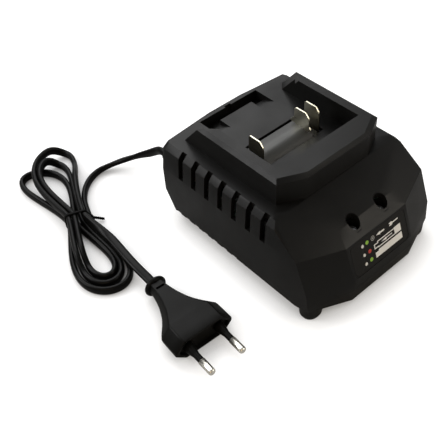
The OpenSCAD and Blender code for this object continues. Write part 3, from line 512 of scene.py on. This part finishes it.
# ---- Housing --------------------------------------------------------------------------
# Two moulded shells of charcoal ABS with a fine matt grain. The upper one carries the slide
# frame, the deck and the vents, and the lower one is the tray with its feet.
abs_charcoal = moulded_plastic("charcoal_abs", (0.0055, 0.0055, 0.0053), 0.4, 1500, 0.15, 0.16)
finish_solid(nodes["top_shell"], abs_charcoal, 0.45, 3)
finish_solid(nodes["bottom_shell"], abs_charcoal, 0.4, 2)

# Each foot is a rounded pad that runs straight up into the corner of the tray. It is given
# by its place across and along, then half its width and half its length
feet = {"front_left": (-41.6, -49.6, 6.1, 5.4), "front_right": (41.6, -49.6, 6.1, 5.4),
        "rear_left": (-40.2, 50.5, 4.8, 4.8), "rear_right": (40.2, 50.5, 4.8, 4.8)}
# Height of each ring of the pad, and its share of the full outline
foot_steps = [[0.02, 0.885], [0.15, 0.925], [0.4, 0.955], [1, 0.985], [2, 1], [8.2, 1]]
turn = np.linspace(0, 2 * np.pi, 56, endpoint=False)
pad = np.stack([fuller(np.cos(turn), 0.88), -fuller(np.sin(turn), 0.88)], 1)
for name, (x, y, half_x, half_y) in feet.items():
    rings = [np.column_stack([x + half_x * share * pad[:, 0], y + half_y * share * pad[:, 1],
                              np.full(len(pad), z)]) for z, share in foot_steps]
    foot = lofted("foot_" + name, rings, abs_charcoal, lambda p: p, 40)
    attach(foot, "root")

# ---- Terminals ------------------------------------------------------------------------
# Plated blades stand in a block of glass-filled nylon, a shade lighter than the housing.
block_nylon = moulded_plastic("terminal_nylon", (0.050, 0.051, 0.049), 0.36, 1200, 0.1, 0.35)
blade_metal = bare_metal("blade_plate", (0.60, 0.58, 0.47), 0.3, 0.1)


def crowned_block(name, x, y, z, material):
    """A grid of heights over x and y, closed by walls and a floor. The height rises from
    the front by a quarter sine, falls to the back by a quarter cosine, and rises from both
    ends by a quarter sine, the sines drawn to powers under one."""
    def quarter(t):
        """A quarter turn, as t runs from 0 to 1."""
        return np.pi / 2 * np.clip(t, 0, 1)

    front_run, back_run, back_fall, end_run = 7, 8.5, 0.72, 1.2
    across, along = np.linspace(*x, 49), np.linspace(*y, 41)
    front = np.sin(quarter((along - y[0]) / front_run)) ** 0.9
    back = 1 - back_fall * (1 - np.cos(quarter((along - y[1] + back_run) / back_run)))
    ends = np.sin(quarter(np.minimum(across - x[0], x[1] - across) / end_run)) ** 0.6
    heights = z[0] + (z[1] - z[0]) * (front * back)[:, None] * ends[None, :]
    gx, gy = np.meshgrid(across, along)
    top = np.stack([gx, gy, np.maximum(heights, z[0] + 0.02)], -1)
    below = top.copy()
    below[..., 2] = z[0]
    rows, columns = gx.shape
    verts = np.vstack([top.reshape(-1, 3), below.reshape(-1, 3)])
    lid = grid_faces(rows, columns, False)
    n = rows * columns
    rim = np.concatenate([
        np.arange(columns), np.arange(1, rows) * columns + columns - 1,
        n - 2 - np.arange(columns - 1), np.arange(rows - 2, 0, -1) * columns])
    after = np.roll(rim, -1)
    walls = np.stack([rim, rim + n, after + n, after], 1)
    return new_piece(name, verts, np.vstack([lid, lid[:, ::-1] + n, walls]), material,
                     True, 40)


# The block stands on a flush base that fills the opening in the deck up to the rear slit
block_base = lofted("terminal_base", [
    [[16.7, y, 50.7], [16.7, y, 53.0], [-24.2, y, 53.0], [-24.2, y, 50.7]]
    for y in (3.75, 21.2)], abs_charcoal, lambda p: p, 30)
block_crown = crowned_block("terminal_block_crown", (-21.3, 15.9), (4.4, 21.2), (52.95, 56.6),
                            block_nylon)
for piece in (block_base, block_crown):
    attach(piece, "root")
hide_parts("terminal_block")
for name in ("left_blade", "middle_blade", "right_blade"):
    finish_solid(nodes[name], blade_metal, 0.12)

# ---- Status panel ---------------------------------------------------------------------
# A dark film label sits in a shallow recess of the sloping front, printed in white, green
# and red, and three clear pipes bring the lights out to it.
label_film = moulded_plastic("label_film", (0.0065, 0.006, 0.005), 0.45, 500, 0.03, 0.15)
finish_solid(nodes["status_label"], label_film, 0.05)
panel_top = np.array([0, -53.6, 37.1])
panel_lean = 0.4
panel_down = np.array([0, -panel_lean, -1]) / math.hypot(panel_lean, 1)
panel_out = np.array([0, -1, panel_lean]) / math.hypot(panel_lean, 1)
# The film's face against the panel's plane, and the ink's over the film
label_lift, ink_lift = -0.1, 0.03


def on_panel(x, s, lift):
    """A point on the panel: across it, down its slope, and out of it."""
    x, s = np.asarray(x, float), np.asarray(s, float)
    return (panel_top + np.stack([x, 0 * x, 0 * x], -1) + s[..., None] * panel_down
            + lift * panel_out)


def print_ink(name, colour):
    """Screen-printed ink: nearly flat, with a faint unevenness of the film of ink."""
    return moulded_plastic(name, colour, 0.45, 900, 0.05, 0.4, 0.04)


white_ink = print_ink("white_ink", (0.82, 0.82, 0.80))
green_ink = print_ink("green_ink", (0.26, 0.50, 0.05))
red_ink = print_ink("red_ink", (0.50, 0.045, 0.03))
grey_ink = print_ink("grey_ink", (0.28, 0.28, 0.27))


def printed(name, outlines, ink):
    """Flat shapes with a thin rim down to the label, each given by its outline across and
    down the panel. A shape given as two outlines is the band between them. The sign of the
    outline's area says which way round its faces go."""
    verts, faces = [], []
    for shape in outlines:
        rings = [np.asarray(r, float)
                 for r in (shape if isinstance(shape, tuple) else (shape,))]
        n, at = len(rings[0]), len(verts)
        for r in rings:
            for level in (label_lift + ink_lift, label_lift - 0.01):
                verts += on_panel(r[:, 0], r[:, 1], level).tolist()
        spokes = rings[0] - rings[0].mean(0)
        step = 1 if np.cross(spokes, np.roll(spokes, -1, 0)).sum() < 0 else -1
        around = [(at + j, at + (j + 1) % n) for j in range(n)]
        walls = [[j, j + n, k + n, k] for j, k in around]
        if len(rings) == 1:
            flat = [[j for j, k in around]]
        else:
            flat = [[j, k, k + 2 * n, j + 2 * n] for j, k in around]
            walls += [[j + 2 * n, k + 2 * n, k + 3 * n, j + 3 * n] for j, k in around]
        faces += [face[::step] for face in flat + walls]
    piece = new_piece(name, verts, faces, ink, smooth=False)
    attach(piece, "root")


def disc(x, s, r, count=28):
    """Outline of a circle: a cosine across and a sine down."""
    a = np.linspace(0, 2 * np.pi, count, endpoint=False)
    return np.stack([x + r * np.cos(a), s + r * np.sin(a)], 1)


def oblong(x0, s0, x1, s1):
    """Outline of a rectangle between two corners."""
    return np.array([[x0, s0], [x1, s0], [x1, s1], [x0, s1]], float)


printed("printed_green_dots", [disc(-8.7, 4.9, 1.15), disc(-8.1, 15.7, 1.15)], green_ink)
printed("printed_red_dot", [disc(-8.1, 10.6, 1.15)], red_ink)
printed("printed_grey_ring", [
    (disc(-4.4, 4.9, 1.4), disc(-4.4, 4.9, 0.95)), disc(-4.4, 4.9, 0.6)], grey_ink)
printed("printed_arrow", [
    [[4.7, 4.45], [1.3, 4.45], [1.3, 3.9], [-1.7, 4.9], [1.3, 5.9], [1.3, 5.35], [4.7, 5.35]]],
    white_ink)
printed("printed_lead_sign", [
    [[8.6, 3.75], [9.5, 3.75], [10.3, 3.55], [11.2, 4.1], [11.5, 4.25], [15.6, 4.2],
     [15.6, 4.85], [11.5, 4.9], [11.2, 5.2], [10.4, 5.75], [9.5, 5.7], [8.6, 5.6], [8.6, 5.1],
     [9.2, 5.1], [9.2, 4.3], [8.6, 4.3]]], white_ink)
battery_out = np.array([[-1.9, 8.3], [11.4, 8.3], [11.4, 12.2], [-1.9, 12.2], [-1.9, 11.9],
                        [-4.6, 11.9], [-4.6, 9.0], [-1.9, 9.0]])
battery_in = np.array([[-1.3, 8.9], [11.4, 8.9], [11.4, 11.6], [-1.3, 11.6], [-1.3, 11.3],
                       [-4.0, 11.3], [-4.0, 9.6], [-1.3, 9.6]])
printed("printed_battery", [(battery_out, battery_in), oblong(11.4, 8.0, 16.4, 12.2)],
        white_ink)
printed("printed_charge_arrow", [
    [[9.6, 9.95], [5.0, 9.95], [4.8, 9.6], [0.9, 10.3], [4.8, 11.0], [5.0, 10.5],
     [9.6, 10.45]]], white_ink)
printed("printed_full_battery", [
    [[-1.9, 13.3], [16.4, 13.2], [16.4, 17.0], [-4.6, 17.0], [-4.6, 14.0], [-1.9, 14.0]]],
    white_ink)

# Clear pipes that glow white where they end in the label
pipe_clear = moulded_plastic("light_pipe_acrylic", (0.80, 0.81, 0.79), 0.25, 300, 0.02, 0.5,
                             0.03)
finish_solid(nodes["light_pipes"], pipe_clear, 0.15)

# ---- Electronics ----------------------------------------------------------------------
# Inside stands a mains power supply on one board: seen only through the vents and the slots
# of the deck, in the plain finishes of such parts.
board_green = moulded_plastic("board_solder_mask", (0.02, 0.11, 0.05), 0.35, 700, 0.1, 0.5)
ferrite = moulded_plastic("ferrite_grey", (0.05, 0.05, 0.055), 0.6, 900, 0.3)
winding_tape = moulded_plastic("winding_tape", (0.62, 0.45, 0.08), 0.4, 400, 0.1, 0.5)
can_sleeve = moulded_plastic("capacitor_sleeve", (0.03, 0.035, 0.10), 0.3, 300, 0.05, 0.5)
choke_wire = moulded_plastic("choke_wire", (0.45, 0.18, 0.06), 0.35, 300, 0.3, 0.6)
film_yellow = moulded_plastic("film_capacitor_yellow", (0.60, 0.42, 0.05), 0.4, 300, 0.05, 0.5)
part_black = moulded_plastic("component_black", (0.02, 0.02, 0.02), 0.5, 900, 0.1)
fuse_clear = moulded_plastic("fuse_glass", (0.55, 0.55, 0.50), 0.15, 300, 0.02, 0.6)
wire_red = moulded_plastic("wire_red", (0.45, 0.03, 0.02), 0.4, 600, 0.05, 0.5)
wire_brown = moulded_plastic("wire_brown", (0.16, 0.08, 0.04), 0.4, 600, 0.05, 0.5)
aluminium = bare_metal("heat_sink_aluminium", (0.78, 0.79, 0.80), 0.4, 0.3)
screw_steel = bare_metal("screw_steel", (0.42, 0.43, 0.44), 0.34, 0.3)
screw_zinc = bare_metal("screw_zinc", (0.72, 0.73, 0.74), 0.32, 0.3)
led_white = moulded_plastic("led_white", (0.75, 0.78, 0.70), 0.35, 300, 0.02, 0.5)
for name, finish in {
        "main_board": board_green, "light_board": board_green, "status_lights": led_white,
        "transformer_core": ferrite, "transformer_winding": winding_tape,
        "mains_capacitor": can_sleeve, "output_capacitors": can_sleeve,
        "filter_choke": choke_wire, "filter_capacitor": film_yellow, "rectifier": part_black,
        "fuse": fuse_clear, "primary_heat_sink": aluminium, "secondary_heat_sink": aluminium,
        "power_transistors": part_black, "control_chips": part_black,
        "battery_leads": wire_red, "mains_leads": wire_brown, "lead_clamp": part_black,
        "clamp_screws": screw_zinc, "board_screws": screw_zinc,
        "front_screws": screw_steel, "rear_screws": screw_steel}.items():
    finish_solid(nodes[name], finish, 0.15, 1, 35)

# ---- Table and light ------------------------------------------------------------------
# White studio sweep under six soft lamps: three behind the charger, two in front of it and
# a weak one to its right. The sweep shows white to the camera and keeps a faint shadow.
floor_white = bpy.data.materials.new("studio_floor")
floor_white.use_nodes = True
tree = floor_white.node_tree
tree.nodes.remove(tree.nodes["Principled BSDF"])
matt = tree.nodes.new("ShaderNodeBsdfDiffuse")
matt.inputs["Color"].default_value = (0.45, 0.45, 0.45, 1)
glow = tree.nodes.new("ShaderNodeEmission")
rays = tree.nodes.new("ShaderNodeLightPath")


def ray_share(node_tree, light_path, seen, mirrored, through):
    """How much of the plain white each kind of ray meets: the shares of the three kinds,
    added up."""
    total = None
    for kind, share in (("Is Camera Ray", seen), ("Is Glossy Ray", mirrored),
                        ("Is Transmission Ray", through)):
        part = node_tree.nodes.new("ShaderNodeMath")
        part.operation = "MULTIPLY"
        part.inputs[1].default_value = share
        node_tree.links.new(light_path.outputs[kind], part.inputs[0])
        if total is None:
            total = part.outputs[0]
        else:
            both = node_tree.nodes.new("ShaderNodeMath")
            both.operation = "ADD"
            node_tree.links.new(total, both.inputs[0])
            node_tree.links.new(part.outputs[0], both.inputs[1])
            total = both.outputs[0]
    return total


# Painted shade: the plain white glow takes ambient occlusion as its colour, so it darkens
# where something stands close over the floor, as a painted contact shadow between the
# strands of the hank and under the charger
painted_contact_shade = tree.nodes.new("ShaderNodeAmbientOcclusion")
painted_contact_shade.samples = 12
painted_contact_shade.inputs["Distance"].default_value = 0.014
both = tree.nodes.new("ShaderNodeAddShader")
tree.links.new(painted_contact_shade.outputs["Color"], glow.inputs["Color"])
tree.links.new(ray_share(tree, rays, 0.84, 0.02, 0.3), glow.inputs["Strength"])
tree.links.new(matt.outputs[0], both.inputs[0])
tree.links.new(glow.outputs[0], both.inputs[1])
tree.links.new(both.outputs[0], tree.nodes["Material Output"].inputs["Surface"])
reach = 3000
floor = new_piece("studio_floor", [[-reach, -reach, 0], [reach, -reach, 0], [reach, reach, 0],
                                   [-reach, reach, 0]], [[0, 1, 2, 3]], floor_white, False)

world = bpy.data.worlds.new("studio")
world.use_nodes = True
bpy.context.scene.world = world
tree = world.node_tree
air = tree.nodes["Background"]
air.inputs["Color"].default_value = (0.95, 0.97, 1.0, 1)
air.inputs["Strength"].default_value = 0.02
white = tree.nodes.new("ShaderNodeBackground")
white.inputs["Strength"].default_value = 1.0
rays = tree.nodes.new("ShaderNodeLightPath")
mix = tree.nodes.new("ShaderNodeMixShader")
tree.links.new(ray_share(tree, rays, 1.0, 0.15, 0.3), mix.inputs[0])
tree.links.new(air.outputs[0], mix.inputs[1])
tree.links.new(white.outputs[0], mix.inputs[2])
tree.links.new(mix.outputs[0], tree.nodes["World Output"].inputs["Surface"])


charger_middle = Vector((0, 0, 0.03))


def soft_box(name, at, size, power, colour=(1, 1, 1)):
    """A square area light that looks at the middle of the charger."""
    data = bpy.data.lights.new(name, "AREA")
    data.shape = "SQUARE"
    data.size = size
    data.energy = power
    data.color = colour
    lamp = bpy.data.objects.new(name, data)
    lamp.location = at
    lamp.rotation_mode = "QUATERNION"
    lamp.rotation_quaternion = (charger_middle - Vector(at)).to_track_quat("-Z", "Y")
    bpy.context.scene.collection.objects.link(lamp)


soft_box("key_above_behind", (0.26, 0.64, 0.87), 0.9, 9.8)
soft_box("low_behind", (0.5, 1.2, 0.25), 0.8, 1.5)
soft_box("front_right", (0.7, -1.0, 0.6), 0.8, 8.2, (1, 0.93, 0.82))
soft_box("front_left", (-0.8, -0.6, 0.6), 0.8, 2.4, (1, 0.76, 0.48))
soft_box("left_behind", (-0.85, 0.75, 0.85), 0.6, 11.0)
soft_box("right", (1.1, -0.1, 0.6), 0.8, 1.0)
